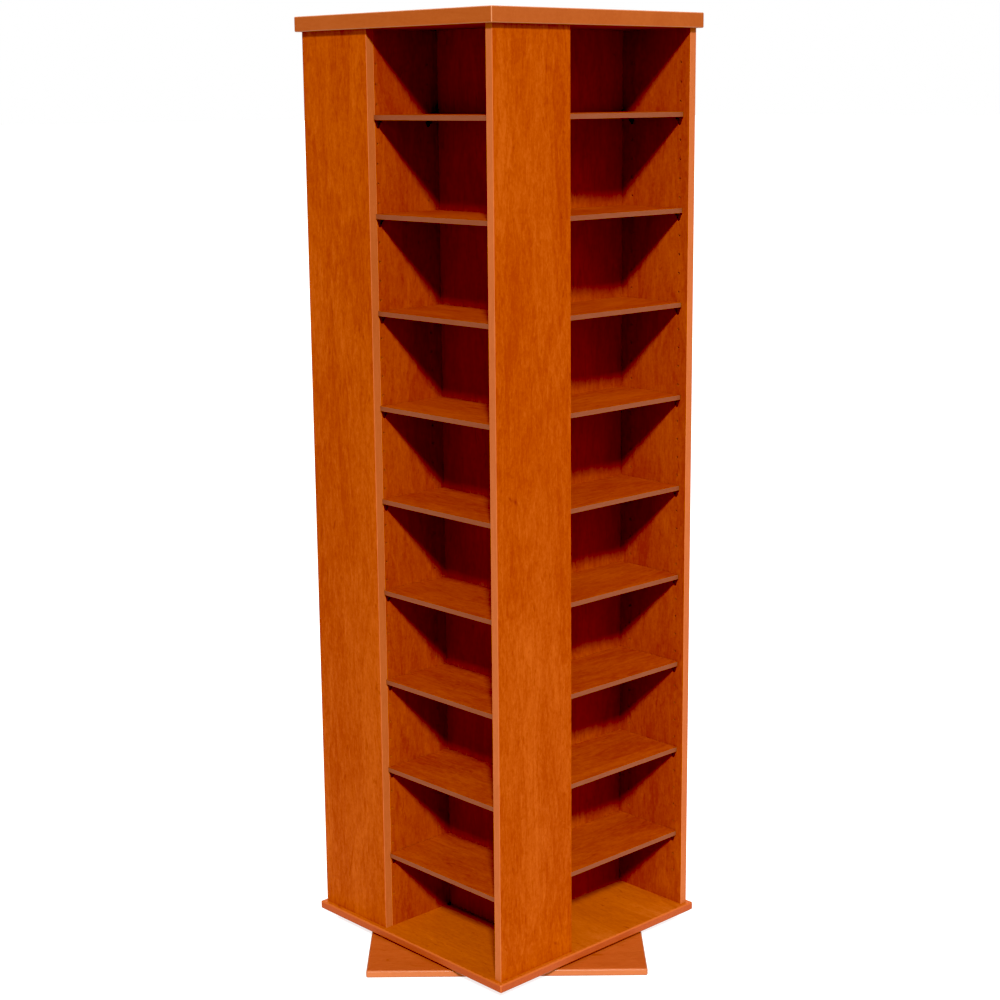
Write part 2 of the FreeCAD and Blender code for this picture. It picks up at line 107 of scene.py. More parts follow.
class Value:
    """A number that varies over a surface; arithmetic on it adds Math nodes."""

    __add__ = maths("ADD")
    __radd__ = maths("ADD", reflected=True)
    __sub__ = maths("SUBTRACT")
    __rsub__ = maths("SUBTRACT", reflected=True)
    __mul__ = maths("MULTIPLY")
    __rmul__ = maths("MULTIPLY", reflected=True)
    __truediv__ = maths("DIVIDE")
    __rtruediv__ = maths("DIVIDE", reflected=True)
    fraction = maths("FRACT")
    size = maths("ABSOLUTE")
    clamped_sum = maths("ADD", clamp=True)

    def __init__(self, tree: "Tree", socket: Socket) -> None:
        """Wrap an output socket of a material's tree."""
        self.tree = tree
        self.socket = socket

    def clamped(self) -> "Value":
        """Keep the value between 0 and 1."""
        return self.clamped_sum(0.0)

    def above(self, start: float, end: float) -> "Value":
        """Rise from 0 at the start to 1 at the end, and stay between them."""
        return ((self - start) / (end - start)).clamped()


class Tree:
    """The nodes of a material or world, with one way to add any node."""

    def __init__(self, owner: Material | bpy.types.World) -> None:
        """Start with an empty tree.

        Args:
            owner: The material or world, new or not.
        """
        self.owner = owner
        owner.use_nodes = True
        self.nodes = owner.node_tree.nodes
        self.links = owner.node_tree.links
        self.nodes.clear()

    @classmethod
    def of_material(cls, name: str) -> "Tree":
        """Start a new material."""
        return cls(bpy.data.materials.new(name))

    def node(
        self,
        kind: str,
        settings: dict[str, object] | None = None,
        inputs: dict[int | str, Input] | None = None,
    ) -> bpy.types.Node:
        """Add a node, set it and feed its sockets.

        Args:
            kind: The node's type.
            settings: Its own settings, such as a Math node's operation.
            inputs: Values or links for its sockets, by name or number.

        Returns:
            The new node.
        """
        made = self.nodes.new(kind)
        for name, setting in (settings or {}).items():
            setattr(made, name, setting)
        for key, value in (inputs or {}).items():
            source = value.socket if isinstance(value, Value) else value
            if isinstance(source, Socket):
                self.links.new(source, made.inputs[key])
            else:
                made.inputs[key].default_value = source
        return made

    def place(self) -> Socket:
        """Return the point on the object, in metres."""
        return self.node("ShaderNodeTexCoord").outputs["Object"]

    def along(self, direction: Triple) -> Value:
        """Work out how far the point lies along a direction: their dot product.

        Args:
            direction: A unit vector.

        Returns:
            The distance in metres.
        """
        inputs = {0: self.place(), 1: direction}
        node = self.node("ShaderNodeVectorMath", {"operation": "DOT_PRODUCT"}, inputs)
        return Value(self, node.outputs["Value"])

    def attribute(self, name: str) -> Value:
        """Return a number that the mesh carries."""
        node = self.node("ShaderNodeAttribute", {"attribute_name": name})
        return Value(self, node.outputs["Fac"])

    def noise(
        self,
        scale: Triple,
        detail: float,
        roughness: float = 0.5,
        distortion: float = 0.0,
        turn: float = 0.0,
    ) -> Value:
        """Return smooth noise over the object, about 0.5 on average.

        Args:
            scale: Cycles per metre along X, Y and Z.
            detail: How many finer layers are added.
            roughness: How strong the finer layers are.
            distortion: How much the noise bends itself.
            turn: Angle in degrees by which the board stands turned about Z.

        Returns:
            The noise.
        """
        back = {"Vector": self.place(), "Rotation": (0.0, 0.0, math.radians(-turn))}
        straight = self.node("ShaderNodeMapping", {"vector_type": "POINT"}, back).outputs[0]
        inputs = {0: straight, 1: scale}
        scaled = self.node("ShaderNodeVectorMath", {"operation": "MULTIPLY"}, inputs).outputs[0]
        sockets = {
            "Vector": scaled,
            "Scale": 1.0,
            "Detail": detail,
            "Roughness": roughness,
            "Distortion": distortion,
        }
        node = self.node("ShaderNodeTexNoise", {"noise_dimensions": "3D"}, sockets)
        return Value(self, node.outputs["Fac"])

    def blend(self, factor: Value, first: Input, second: Input) -> Socket:
        """Mix two colours.

        Args:
            factor: 0 for the first colour and 1 for the second.
            first: A colour or a link to one.
            second: A colour or a link to one.

        Returns:
            The mixed colour.
        """
        settings = {"data_type": "RGBA", "clamp_factor": True}
        first_colour = (*first, 1.0) if isinstance(first, tuple) else first
        second_colour = (*second, 1.0) if isinstance(second, tuple) else second
        node = self.node("ShaderNodeMix", settings, {0: factor, 6: first_colour, 7: second_colour})
        return node.outputs[2]

    def bump(self, height: Value, depth: float, strength: float) -> Socket:
        """Return normals bent by a height pattern, of which 1 stands for the depth in metres."""
        inputs = {"Height": height, "Distance": depth, "Strength": strength}
        return self.node("ShaderNodeBump", None, inputs).outputs[0]

    def finish(self, sockets: dict[str, Input]) -> Material:
        """Close the tree with a Principled shader.

        Args:
            sockets: Values or links for the shader's sockets.

        Returns:
            The finished material.
        """
        shader = self.node("ShaderNodeBsdfPrincipled", None, sockets)
        self.node("ShaderNodeOutputMaterial", None, {"Surface": shader.outputs[0]})
        return self.owner


# ---------------- finishes


class Grain(Enum):
    """The axis that a board's grain follows."""

    ALONG_X = 0
    ALONG_Y = 1
    ALONG_Z = 2


@dataclass(frozen=True)
class Pattern:
    """Noise that is drawn out along a board's grain.

    Attributes:
        across: Cycles per metre across the grain.
        along: Cycles per metre along it.
        detail: How many finer layers are added.
        roughness: How strong the finer layers are.
        distortion: How much the noise bends itself.
    """

    across: float
    along: float
    detail: float
    roughness: float
    distortion: float = 0.0


CLOUD = Pattern(14.0, 2.6, 3.0, 0.5, 0.6)
STREAK = Pattern(112.0, 25.0, 4.0, 0.6, 1.2)
FIBRE = Pattern(520.0, 60.0, 2.0, 0.5)
MOTTLE = Pattern(210.0, 150.0, 2.0, 0.6, 0.8)
FLECK = Pattern(150.0, 34.0, 2.0, 0.6, 1.2)
SCAR = Pattern(42.0, 15.0, 3.0, 0.6, 1.6)


@dataclass(frozen=True)
class CherryLaminate:
    """A printed cherry laminate: soft streaks, fine pores and a glossy arris, whose colour is
    partly wear and partly painted light.
    """

    name: str
    grain: Grain
    turn: float = 0.0  # degrees by which the board stands turned
    light: Triple = (0.275, 0.0562, 0.0096)
    dark: Triple = (0.194, 0.0288, 0.0060)  # in the streaks
    pore: Triple = (0.120, 0.0112, 0.0024)  # in the flecks and scars
    band: Triple = (0.318, 0.0885, 0.0300)  # on the narrow faces
    arris: Triple = (0.390, 0.1200, 0.0440)  # on the arrises: partly wear, partly painted light (a painted highlight where lighter than the band, painted shade where darker)

    def drawn(self, tree: Tree, pattern: Pattern) -> Value:
        """Return a pattern's noise along this board's grain.

        Args:
            tree: The material's nodes.
            pattern: The pattern.

        Returns:
            The noise.
        """
        scale = [pattern.across] * 3
        scale[self.grain.value] = pattern.along
        finer = pattern.detail, pattern.roughness, pattern.distortion
        return tree.noise(tuple(scale), *finer, self.turn)

    def make(self) -> Material:
        """Build the material.

        The depth of colour is a weighted sum of the patterns. Flecks and scars are the peaks
        of two of them, and the figure is a fold of the cloud into even bands.

        Returns:
            The laminate, which reads the mesh's "band" and "arris" where it has them.
        """
        tree = Tree.of_material(self.name)
        cloud, streak, fibre, mottle, fleck, scar = (
            self.drawn(tree, pattern) for pattern in (CLOUD, STREAK, FIBRE, MOTTLE, FLECK, SCAR)
        )
        figure = ((cloud * 9.0).fraction() * 2.0 - 1.0).size()
        tone = cloud * 0.7 + streak * 0.7 + fibre * 0.3 + mottle * 0.5 + figure * 0.12
        depth = tone.above(0.89, 1.38)
        pores = (fleck.above(0.63, 0.80) * 0.5 + scar.above(0.66, 0.77) * 0.6).clamped()
        face = tree.blend(pores, tree.blend(depth, self.light, self.dark), self.pore)

        band = tree.attribute("band")
        arris = tree.attribute("arris")
        strip = tree.blend(depth * 0.16, self.band, self.pore)
        edge = tree.blend(band.above(0.2, 0.8) * 0.92, face, strip)
        # On the rounded edges the colour moves to the arris colour: partly wear, partly painted
        # light, a highlight where that colour is lighter than the band and shade where it is
        # darker.
        arris_wear_and_painted_light = arris.above(0.05, 0.8) * (0.65 + fibre * 0.4)
        height = fibre * 0.5 + streak * 0.5 - pores
        return tree.finish({
            "Base Color": tree.blend(arris_wear_and_painted_light, edge, self.arris),
            "Roughness": 0.60 + streak * 0.12 + pores * 0.12 - arris * 0.22,
            "Specular IOR Level": 0.07,
            "Coat Weight": arris * 0.25,
            "Coat Roughness": 0.22,
            "Normal": tree.bump(height, 0.06 * MM, 0.6),
        })


@dataclass(frozen=True)
class MouldedPlastic:
    """Fine-grained moulded plastic."""

    name: str
    colour: Triple
    shade: Triple
    roughness: float = 0.42

    def make(self) -> Material:
        """Build the material.

        Returns:
            The plastic, with a faint mottle and a moulded grain.
        """
        tree = Tree.of_material(self.name)
        mottle = tree.noise((90.0,) * 3, 3.0, 0.6)
        grain = tree.noise((2600.0,) * 3, 1.0)
        return tree.finish({
            "Base Color": tree.blend(mottle.above(0.35, 0.65), self.colour, self.shade),
            "Roughness": self.roughness + mottle * 0.1 + grain * 0.06,
            "Specular IOR Level": 0.4,
            "Normal": tree.bump(grain, 0.04 * MM, 0.5),
        })


@dataclass(frozen=True)
class Steel:
    """Bare or zinc-plated steel."""

    name: str
    bright: Triple
    dull: Triple
    roughness: float
    spangle: float

    def make(self) -> Material:
        """Build the material.

        Returns:
            The steel, with a cloudy plating and fine rubbing marks.
        """
        tree = Tree.of_material(self.name)
        cloud = tree.noise((70.0,) * 3, 4.0, 0.6)
        rub = tree.noise((1500.0, 120.0, 600.0), 2.0)
        spangles = cloud.above(0.35, 0.7) * self.spangle
        return tree.finish({
            "Base Color": tree.blend(spangles, self.bright, self.dull),
            "Metallic": 1.0,
            "Roughness": self.roughness + cloud * 0.12 + rub * 0.08,
            "Normal": tree.bump(rub, 0.02 * MM, 0.4),
        })


@dataclass(frozen=True)
class Beech:
    """Plain beech, with short dark rays."""

    name: str = "plain_beech"
    light: Triple = (0.62, 0.43, 0.24)
    dark: Triple = (0.50, 0.32, 0.16)
    ray: Triple = (0.33, 0.19, 0.09)

    def make(self) -> Material:
        """Build the material.

        Returns:
            The beech, with its rays where the noise peaks.
        """
        tree = Tree.of_material(self.name)
        grain = tree.noise((420.0, 420.0, 30.0), 3.0, 0.6)
        rays = tree.noise((900.0, 900.0, 160.0), 1.0).above(0.62, 0.7)
        wood = tree.blend(grain.above(0.35, 0.65), self.light, self.dark)
        return tree.finish({
            "Base Color": tree.blend(rays * 0.5, wood, self.ray),
            "Roughness": 0.6 + grain * 0.15,
            "Normal": tree.bump(grain, 0.08 * MM, 0.5),
        })


@dataclass(frozen=True)
class StudioWhite:
    """The pale floor of the studio, lit from below as a light table is.

    The glow fades from the tower towards the front right, where the key light stands.
    """

    name: str = "studio_white"
    glow: float = 0.80
    least: float = 0.22  # what is left of the glow where it has faded
    towards: Triple = (0.73, -0.68, 0.0)
    fade_start: float = 0.35  # metres from the axis
    fade_end: float = 1.3

    def make(self) -> Material:
        """Build the material.

        Returns:
            The floor's paint, with its glow.
        """
        tree = Tree.of_material(self.name)
        cloud = tree.noise((1.5,) * 3, 2.0)
        ahead = tree.along(self.towards).above(self.fade_start, self.fade_end)
        return tree.finish({
            "Base Color": tree.blend(cloud, (0.34,) * 3, (0.36,) * 3),
            "Roughness": 0.9,
            "Specular IOR Level": 0.0,
            "Emission Color": tree.blend(ahead, WHITE, (self.least,) * 3),
            "Emission Strength": self.glow,
        })


class Finishes:
    """Every finish of the tower, made once."""

    def __init__(self) -> None:
        """Make the materials."""
        # The shelves' arris colour is darker than their band: painted shade along the shelves'
        # edges.
        shelf = {"band": (0.146, 0.0490, 0.0265), "arris": (0.13, 0.028, 0.010)}
        # The top board's arris colour is lighter than its band: a painted highlight along its
        # edges.
        top = {"band": (0.2400, 0.0620, 0.0178), "arris": (0.38, 0.16, 0.075)}
        # The bottom board's laminate is lighter than the uprights': painted light on it. Its arris
        # colour, lighter than its band, is a painted highlight.
        bottom = {
            "light": (0.350, 0.085, 0.0200),
            "dark": (0.272, 0.060, 0.0140),
            "band": (0.250, 0.0530, 0.0195),
            "arris": (0.280, 0.064, 0.014),
        }
        # The base board's laminate and edge band are lighter than the uprights': painted light from
        # above and from the floor. Its arris colour, darker than its band, is painted shade that
        # dims the edge's highlight.
        base = {
            "light": (0.328, 0.0755, 0.0225),
            "dark": (0.275, 0.0580, 0.0185),
            "band": (0.316, 0.1000, 0.0375),
            "arris": (0.270, 0.082, 0.028),
        }
        self.upright = CherryLaminate("cherry_upright", Grain.ALONG_Z).make()
        self.shelf_x = CherryLaminate("cherry_shelf_x", Grain.ALONG_X, **shelf).make()
        self.shelf_y = CherryLaminate("cherry_shelf_y", Grain.ALONG_Y, **shelf).make()
        self.top = CherryLaminate("cherry_top", Grain.ALONG_X, **top).make()
        self.bottom = CherryLaminate("cherry_bottom", Grain.ALONG_X, **bottom).make()
        self.base = CherryLaminate("cherry_base", Grain.ALONG_X, BASE_TURN, **base).make()

        brown = (0.060, 0.010, 0.005), (0.040, 0.006, 0.003)
        milky = (0.84, 0.83, 0.79), (0.78, 0.77, 0.72)
        self.support = MouldedPlastic("brown_plastic", *brown).make()
        self.cage = MouldedPlastic("white_cage_plastic", *milky, roughness=0.38).make()

        plating = (0.66, 0.67, 0.69), (0.50, 0.51, 0.54)
        passivated = (0.60, 0.61, 0.63), (0.46, 0.47, 0.49)
        polished = (0.82, 0.82, 0.84), (0.76, 0.76, 0.78)
        self.plate = Steel("zinc_plate_steel", *plating, roughness=0.3, spangle=0.7).make()
        self.fastener = Steel("zinc_fasteners", *passivated, roughness=0.28, spangle=0.6).make()
        self.ball = Steel("bearing_steel", *polished, roughness=0.06, spangle=0.3).make()
        self.dowel = Beech().make()
        self.floor = StudioWhite().make()


# ---------------- surfaces


@dataclass
class Surface:
    """Points and faces, ready to become a mesh.

    Attributes:
        points: One row per point, in metres.
        quads: Four point numbers per row, anticlockwise seen from outside.
        caps: Other outlines, as rows of point numbers, each array of one length.
    """

    points: np.ndarray
    quads: np.ndarray
    caps: list[np.ndarray] = field(default_factory=list)

    def turned(self, quarters: int) -> "Surface":
        """Return the surface turned about Z by a number of quarter turns."""
        return Surface(self.points @ quarter_turn(quarters).T, self.quads, self.caps)

    def __add__(self, other: "Surface") -> "Surface":
        """Return both surfaces as one.

        Args:
            other: The surface to add.

        Returns:
            One surface, with the other's points after its own.
        """
        shift = len(self.points)
        points = np.concatenate([self.points, other.points])
        quads = np.concatenate([self.quads, other.quads + shift])
        return Surface(points, quads, self.caps + [cap + shift for cap in other.caps])


def quarter_turn(quarters: int) -> np.ndarray:
    """Return the matrix of so many anticlockwise quarter turns about Z."""
    step = np.array([[0.0, -1.0, 0.0], [1.0, 0.0, 0.0], [0.0, 0.0, 1.0]])
    return np.linalg.matrix_power(step, quarters)


def grid_quads(rows: int, columns: int) -> np.ndarray:
    """Join a grid of points into quads: (r, c), (r, c+1), (r+1, c+1), (r+1, c).

    Args:
        rows: Rows of points.
        columns: Points in a row, of which the last is followed by the first.

    Returns:
        One row of four point numbers per quad.
    """
    row, column = np.meshgrid(np.arange(rows - 1), np.arange(columns), indexing="ij")
    after = (column + 1) % columns
    corners = [row * columns + column, row * columns + after,
               (row + 1) * columns + after, (row + 1) * columns + column]
    return np.stack(corners, axis=-1).reshape(-1, 4)


def skin(rings: np.ndarray) -> Surface:
    """Join rings into a closed skin with a cap at each end.

    Args:
        rings: Points by ring and place on it, from the bottom up and anticlockwise.

    Returns:
        The skin.
    """
    rows, columns = rings.shape[:2]
    numbers = np.arange(rows * columns).reshape(rows, columns)
    caps = [np.stack([numbers[-1], numbers[0][::-1]])]
    return Surface(rings.reshape(-1, 3), grid_quads(rows, columns), caps)


def directions(tilts: np.ndarray, turns: np.ndarray) -> np.ndarray:
    """Work out a unit sphere's grid: n = (cos b cos a, cos b sin a, sin b).

    Args:
        tilts: The angles b above the level, one per row.
        turns: The angles a round the sphere, one per column.

    Returns:
        Unit vectors by row and column.
    """
    tilt, turn = np.meshgrid(tilts, turns, indexing="ij")
    flat = np.cos(tilt)
    return np.stack([flat * np.cos(turn), flat * np.sin(turn), np.sin(tilt)], axis=-1)


def round_places(radius: float, angles: np.ndarray, height: float) -> np.ndarray:
    """Work out one place per angle a on a circle: (radius cos a, radius sin a, height)."""
    level = np.full(len(angles), height)
    return np.stack([radius * np.cos(angles), radius * np.sin(angles), level], axis=1)


def copies(one: Surface, moves: np.ndarray, turns: np.ndarray | None = None) -> Surface:
    """Repeat a surface: copy i is its points turned by turns[i] and moved by moves[i].

    Args:
        one: The surface to repeat.
        moves: One vector per copy.
        turns: One rotation matrix per copy or for all, or None for no turning.

    Returns:
        All copies as one surface.
    """
    count = len(moves)
    spins = np.broadcast_to(np.eye(3) if turns is None else turns, (count, 3, 3))
    points = np.einsum("nij,pj->npi", spins, one.points) + moves[:, None, :]
    shift = np.arange(count)[:, None, None] * len(one.points)
    quads = (one.quads + shift).reshape(-1, 4)
    caps = [(cap + shift).reshape(-1, cap.shape[1]) for cap in one.caps]
    return Surface(points.reshape(-1, 3), quads, caps)


def edge_marks(normals: np.ndarray, thin_axis: int) -> dict[str, np.ndarray]:
    """Return how much each point belongs to the edge band and to an arris.

    band = 1 - n_thin^2 is 0 on the broad faces and 1 on the narrow ones, and
    arris = (1 - max |n|) / (1 - 1/sqrt 2) is 0 on flat faces and 1 halfway round an edge.

    Args:
        normals: Unit normals.
        thin_axis: The axis across the board's thickness.

    Returns:
        The two marks.
    """
    band = 1.0 - normals[:, thin_axis] ** 2
    arris = (1.0 - np.abs(normals).max(axis=1)) / (1.0 - math.sqrt(0.5))
    return {"band": band, "arris": np.clip(arris, 0.0, 1.0)}


def make_piece(
    name: str, surface: Surface, material: Material, crease: float | None = None
) -> Piece:
    """Turn a surface into a smooth object that sits at the origin.

    Args:
        name: The object's name.
        surface: What to build, with its poles and seams still open.
        material: Its finish.
        crease: The angle in degrees past which an edge stays sharp, or None for no such edge.

    Returns:
        The new object.
    """
    mesh = bpy.data.meshes.new(name)
    faces = surface.quads.tolist()
    for cap in surface.caps:
        faces.extend(cap.tolist())
    mesh.from_pydata(surface.points, [], faces)
    shape = bmesh.new()
    shape.from_mesh(mesh)
    bmesh.ops.remove_doubles(shape, verts=shape.verts, dist=MERGED)
    shape.to_mesh(mesh)
    shape.free()
    smooth(mesh, crease=crease)
    return show(name, mesh, material)


def show(name: str, mesh: Mesh, material: Material) -> Piece:
    """Put a mesh into the scene.

    Args:
        name: The object's name.
        mesh: Its mesh.
        material: Its one finish.

    Returns:
        The new object.
    """
    mesh.materials.clear()
    mesh.materials.append(material)
    made = bpy.data.objects.new(name, mesh)
    bpy.context.scene.collection.objects.link(made)
    return made


def read_points(mesh: Mesh) -> np.ndarray:
    """Read a mesh's points.

    Args:
        mesh: The mesh.

    Returns:
        One row per point, in metres.
    """
    flat = np.empty(len(mesh.vertices) * 3)
    mesh.vertices.foreach_get("co", flat)
    return flat.reshape(-1, 3)


def write_marks(mesh: Mesh, marks: dict[str, np.ndarray], domain: str = "POINT") -> None:
    """Store numbers on a mesh's points or faces, by name."""
    for name, values in marks.items():
        mesh.attributes.new(name, "FLOAT", domain).data.foreach_set("value", values)


def smooth(mesh: Mesh, wanted: np.ndarray | bool = True, crease: float | None = None) -> None:
    """Shade a mesh's faces smooth.

    Args:
        mesh: The mesh.
        wanted: Which faces are shaded smooth.
        crease: The angle in degrees past which an edge stays sharp, or None for no such edge.
    """
    flags = np.broadcast_to(wanted, len(mesh.polygons)).tolist()
    mesh.polygons.foreach_set("use_smooth", flags)
    mesh.update()
    if crease is not None:
        mesh.set_sharp_from_angle(angle=math.radians(crease))


def hand_over(piece: Piece, body: str, node: str) -> None:
    """Tie a finished piece to its body and the node that it stands for.

    Args:
        piece: The piece.
        body: The body that it rides on.
        node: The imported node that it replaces.
    """
    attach(piece, body)
    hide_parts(node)
    log.info("%s: %d faces, on %s", piece.name, len(piece.data.polygons), body)


def box_of(node: str) -> tuple[np.ndarray, np.ndarray]:
    """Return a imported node's lowest and highest corners."""
    low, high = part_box(node)
    return np.array(low), np.array(high)


# ---------------- boards


@dataclass
class Board:
    """A board's box and its rounded edges."""

    low: np.ndarray
    high: np.ndarray
    radius: float
    steps: int = 3  # flats in a quarter of an edge

    @property
    def half(self) -> np.ndarray:
        """Half the board's size along each axis."""
        return (self.high - self.low) / 2

    @property
    def middle(self) -> np.ndarray:
        """The board's centre."""
        return (self.high + self.low) / 2

    def quarters(self) -> list[np.ndarray]:
        """Return the angles of the edges' points, quarter by quarter."""
        quarter = np.linspace(0.0, math.pi / 2, self.steps + 1)
        return [quarter + step * math.pi / 2 for step in range(QUARTERS)]

    def normals(self, points: np.ndarray, core: np.ndarray) -> np.ndarray:
        """Work out the outward normals.

        The board is every point within the radius of its core box, so the normal is the
        direction from the nearest point of the core: n = d / |d|, d = p - clip(p, core).

        Args:
            points: Points on the board's surface.
            core: Half the core box along each axis.

        Returns:
            One unit normal per point, or zero for a point inside the core.
        """
        local = points - self.middle
        away = local - np.clip(local, -core, core)
        away[np.abs(away) < MERGED] = 0.0
        length = np.linalg.norm(away, axis=1, keepdims=True)
        return away / np.maximum(length, MERGED)


@dataclass
class RoundedBoard(Board):
    """A board with all its edges rounded."""

    def surface(self) -> Surface:
        """Build the board's skin.

        A unit sphere's grid is cut into eight, and each eighth is moved out to a corner:
        p = middle + radius n + sign (half - radius).

        Returns:
            The closed skin.
        """
        angles = self.quarters()
        count = self.steps + 1
        tilts = np.concatenate([angles[0] - math.pi / 2, angles[0]])
        normal = directions(tilts, np.concatenate(angles))
        sign = np.empty_like(normal)
        sign[..., 0] = np.repeat([1.0, -1.0, -1.0, 1.0], count)
        sign[..., 1] = np.repeat([1.0, 1.0, -1.0, -1.0], count)
        sign[..., 2] = np.repeat([-1.0, 1.0], count)[:, None]
        return skin(self.middle + self.radius * normal + sign * (self.half - self.radius))

    def piece(self, name: str, material: Material) -> Piece:
        """Build the board as an object.

        Args:
            name: The object's name.
            material: Its finish.

        Returns:
            The board.
        """
        made = make_piece(name, self.surface(), material)
        normals = self.normals(read_points(made.data), self.half - self.radius)
        write_marks(made.data, edge_marks(normals, int(np.argmin(self.half))))
        made.data.normals_split_custom_set_from_vertices(normals)
        return made


@dataclass
class PegHoles:
    """Columns of round holes for the shelf supports' pegs, up one face of an upright board."""

    axis: int  # along which the columns are set apart, on the front side
    places: tuple[float, float] = PEG_COLUMNS
    lowest: float = 93 * MM
    count: int = 46
    pitch: float = 32 * MM
    radius: float = 2.5 * MM
    cell: float = 3.4 * MM  # half the side of the square of skin round a hole
    depth: float = 9 * MM
    flats: int = 8  # two for each side of a cell

    def borders(self, middles: np.ndarray) -> np.ndarray:
        """Return where the cells begin and end, in order, for the middles of the holes."""
        return np.stack([middles - self.cell, middles + self.cell], axis=1).ravel()

    def levels(self, low: float, high: float) -> np.ndarray:
        """Return the heights at which the board's skin is divided, ends included."""
        middles = self.lowest + self.pitch * np.arange(self.count)
        return np.concatenate([[low], self.borders(middles), [high]])


@dataclass
class UprightBoard(Board):
    """A side board or partition: a rounded outline carried upwards, with peg holes in one face."""

    holes: PegHoles = field(kw_only=True)

    def outline(self) -> tuple[np.ndarray, np.ndarray]:
        """Work out the outline seen from above, anticlockwise from the +X +Y corner.

        Each corner is a quarter circle, p = corner core + radius (cos a, sin a). The holed
        face also has a point at each side of each column of holes.

        Returns:
            The points, and for each point whether a hole's cell starts there.
        """
        signs = np.array([[1, 1], [-1, 1], [-1, -1], [1, -1]], dtype=float)
        holed_after = 0 if self.holes.axis == 0 else 3
        pieces, starts = [], []
        for step, (sign, angle) in enumerate(zip(signs, self.quarters())):
            arc = np.stack([np.cos(angle), np.sin(angle)], axis=1) * self.radius
            pieces.append(self.middle[:2] + sign * (self.half[:2] - self.radius) + arc)
            starts.append(np.zeros(len(arc), dtype=bool))
            if step == holed_after:
                pieces.append(self.column_points())
                starts.append(np.tile([True, False], len(self.holes.places)))
        return np.concatenate(pieces), np.concatenate(starts)

    def column_points(self) -> np.ndarray:
        """Work out the outline's points beside the holes.

        Returns:
            One row per point, in the outline's own direction.
        """
        borders = self.holes.borders(np.array(self.holes.places))
        if self.holes.axis == 0:
            return np.stack([borders[::-1], np.full(len(borders), self.high[1])], axis=1)
        return np.stack([np.full(len(borders), self.high[0]), borders], axis=1)

    def surface(self) -> tuple[Surface, int]:
        """Carry the outline up through the levels and let a hole into each cell.

        A hole is a cup with flat sides: rim p = c + r (t cos a + z sin a), floor the same
        points moved into the board by the depth. A cell's four sides and four nooks join
        its corners to the rim.

        Returns:
            The closed skin, and how many of its first quads lie outside the cells.
        """
        outline, starts = self.outline()
        levels = self.holes.levels(self.low[2], self.high[2])
        rows, columns = len(levels), len(outline)
        heights = np.repeat(levels, columns)[:, None]
        points = np.concatenate([np.tile(outline, (rows, 1)), heights], axis=1)
        quads = grid_quads(rows, columns)
        row, column = np.divmod(np.arange(len(quads)), columns)
        holed = starts[column] & (row % 2 == 1)
        plain, cells = quads[~holed], quads[holed]

        flats = self.holes.flats
        across = points[cells[:, 1]] - points[cells[:, 0]]
        across /= np.linalg.norm(across, axis=1, keepdims=True)
        angles = (math.pi / flats + 2 * math.pi / flats * np.arange(flats))[None, :, None]
        centres = points[cells].mean(axis=1)[:, None]
        spokes = across[:, None] * np.cos(angles) + UP * np.sin(angles)
        rim = centres + self.holes.radius * spokes
        floor = rim - np.cross(across, UP)[:, None] * self.holes.depth
        cups = np.concatenate([rim, floor], axis=1).reshape(-1, 3)

        first = len(points) + 2 * flats * np.arange(len(cells))
        ring = first[:, None] + np.arange(flats)
        after = np.roll(ring, -1, axis=1)
        walls = np.stack([ring, after, after + flats, ring + flats], axis=-1).reshape(-1, 4)
        corners = np.roll(cells, -1, axis=1)
        following = np.roll(corners, -1, axis=1)
        sides, nooks = [], []
        for step in range(QUARTERS):
            here, there = corners[:, step], following[:, step]
            near, far = ring[:, 2 * step], ring[:, 2 * step + 1]
            sides.append(np.stack([here, there, near, ring[:, 2 * step - 1]], axis=1))
            nooks.append(np.stack([there, far, near], axis=1))

        bottom = np.arange(columns)
        ends = np.stack([bottom[::-1], bottom + (rows - 1) * columns])
        caps = [np.concatenate(nooks), ring + flats, ends]
        faces = np.concatenate([plain, walls, *sides])
        return Surface(np.concatenate([points, cups]), faces, caps), len(plain)

    def piece(self, name: str, material: Material, quarters: int) -> Piece:
        """Build the board as an object on one side of the tower.

        Args:
            name: The object's name.
            material: Its finish.
            quarters: Quarter turns from the front to that side.

        Returns:
            The board.
        """
        surface, plain = self.surface()
        core = self.half - np.array([self.radius, self.radius, 0.0])
        normals = self.normals(surface.points, core)
        made = make_piece(name, surface.turned(quarters), material)
        write_marks(made.data, edge_marks(normals, int(np.argmin(self.half[:2]))))
        smooth(made.data, np.arange(len(made.data.polygons)) < plain)
        made.data.normals_split_custom_set_from_vertices(normals @ quarter_turn(quarters).T)
        return made


